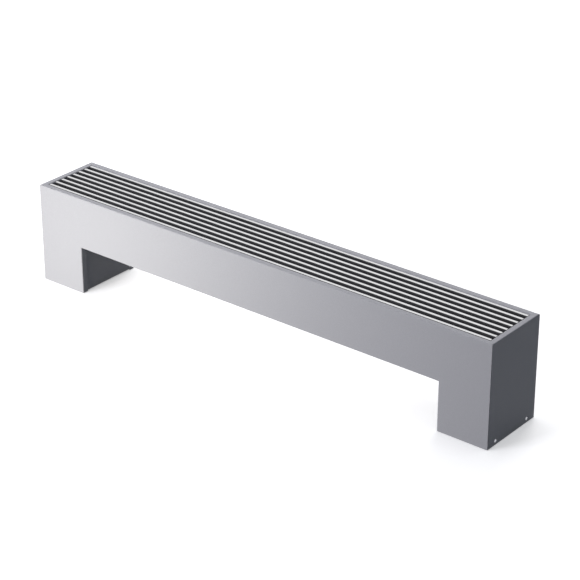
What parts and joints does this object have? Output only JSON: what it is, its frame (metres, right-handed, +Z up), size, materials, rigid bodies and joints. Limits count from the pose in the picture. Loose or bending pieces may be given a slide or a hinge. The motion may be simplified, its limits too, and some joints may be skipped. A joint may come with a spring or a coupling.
{
  "type": "floor convector",
  "caption": "Bench-shaped floor convector: sheet-metal casing bridging two legs, lift-out linear grille, finned copper heat exchanger and pipe valves inside a leg.",
  "frame": {"origin": "centre of the footprint, on the floor", "axes": "+X along the casing to its right end, where the valves are; +Y to the rear; +Z up"},
  "size_m": [1.0032, 0.138, 0.1925],
  "materials": {
    "casing_paint": "satin powder coat",
    "black_steel": "matt black powder coat",
    "damping_rubber": "matt",
    "zinc_steel": "zinc plated",
    "bright_steel": "bright stainless",
    "black_fins": "matt black coated aluminium",
    "copper": "dull copper tube",
    "valve_brass": "turned brass",
    "white_plastic": "matt moulded",
    "grille_aluminium": "bright faces on black sides",
    "black_plastic": "matt moulded"
  },
  "bodies": {
    "casing": {"front_panel": "casing_paint", "rear_panel": "casing_paint", "left_end_panel": "casing_paint", "right_end_panel": "casing_paint", "left_stand": "casing_paint", "right_stand": "casing_paint", "corner_angles": "black_steel", "left_cross_brace": "black_steel", "right_cross_brace": "black_steel", "front_damping_strip": "damping_rubber", "rear_damping_strip": "damping_rubber", "left_damping_strip": "damping_rubber", "right_damping_strip": "damping_rubber", "supply_gasket": "damping_rubber", "return_gasket": "damping_rubber", "casing_nuts": "zinc_steel", "left_exchanger_plate": "zinc_steel", "right_exchanger_plate": "zinc_steel", "exchanger_bolts": "zinc_steel", "exchanger_nuts": "zinc_steel", "casing_screws": "bright_steel", "exchanger_fins": "black_fins", "front_lower_tube": "copper", "front_upper_tube": "copper", "rear_lower_tube": "copper", "rear_upper_tube": "copper", "left_front_bend": "copper", "left_rear_bend": "copper", "right_bend": "copper", "air_vent_body": "valve_brass", "supply_tail": "valve_brass", "return_tail": "valve_brass", "supply_union_nut": "valve_brass", "return_union_nut": "valve_brass", "supply_valve_body": "valve_brass", "return_valve_body": "valve_brass", "supply_valve_insert": "valve_brass", "return_valve_bonnet": "valve_brass"},
    "grille": {"grille_bar_1": "grille_aluminium", "grille_bar_2": "grille_aluminium", "grille_bar_3": "grille_aluminium", "grille_bar_4": "grille_aluminium", "grille_bar_5": "grille_aluminium", "grille_bar_6": "grille_aluminium", "grille_bar_7": "grille_aluminium", "grille_bar_8": "grille_aluminium", "grille_rods": "zinc_steel", "grille_sleeves": "black_plastic", "grille_rod_caps": "zinc_steel"},
    "handwheel": {"handwheel": "white_plastic"},
    "supply_pin": {"supply_valve_pin": "zinc_steel", "supply_valve_cone": "damping_rubber", "wheel_plunger": "white_plastic"},
    "return_cone": {"return_valve_cone": "valve_brass"},
    "return_spindle": {"return_valve_spindle": "valve_brass"},
    "return_cap": {"return_valve_cap": "white_plastic"},
    "vent_screw": {"air_vent_screw": "zinc_steel"}
  },
  "joints": [
    {"name": "grille_lift", "type": "slide", "parent": "casing", "child": "grille", "axis": [0, 0, 1], "range_m": [0, 0.1]},
    {"name": "handwheel_turn", "type": "hinge", "parent": "casing", "child": "handwheel", "pos_m": [0.462, -0.025, 0.143], "axis": [0, 0, -1], "range_deg": [0, 720]},
    {"name": "supply_pin_travel", "type": "slide", "parent": "casing", "child": "supply_pin", "axis": [0, 0, -1], "range_m": [0, 0.0027]},
    {"name": "return_cone_travel", "type": "slide", "parent": "casing", "child": "return_cone", "axis": [0, 0, -1], "range_m": [0, 0.0027]},
    {"name": "return_spindle_turn", "type": "hinge", "parent": "casing", "child": "return_spindle", "pos_m": [0.462, 0.025, 0.138], "axis": [0, 0, -1], "range_deg": [0, 720]},
    {"name": "return_cap_lift", "type": "slide", "parent": "casing", "child": "return_cap", "axis": [0, 0, 1], "range_m": [0, 0.016]},
    {"name": "vent_screw_turn", "type": "hinge", "parent": "casing", "child": "vent_screw", "pos_m": [0.4386, 0, 0.156], "axis": [0, 0, 1], "range_deg": [0, 360]}
  ],
  "couplings": [
    {"joint": "supply_pin_travel", "follows": "handwheel_turn", "m_per_rad": 0.00021486},
    {"joint": "return_cone_travel", "follows": "return_spindle_turn", "m_per_rad": 0.00021486}
  ]
}
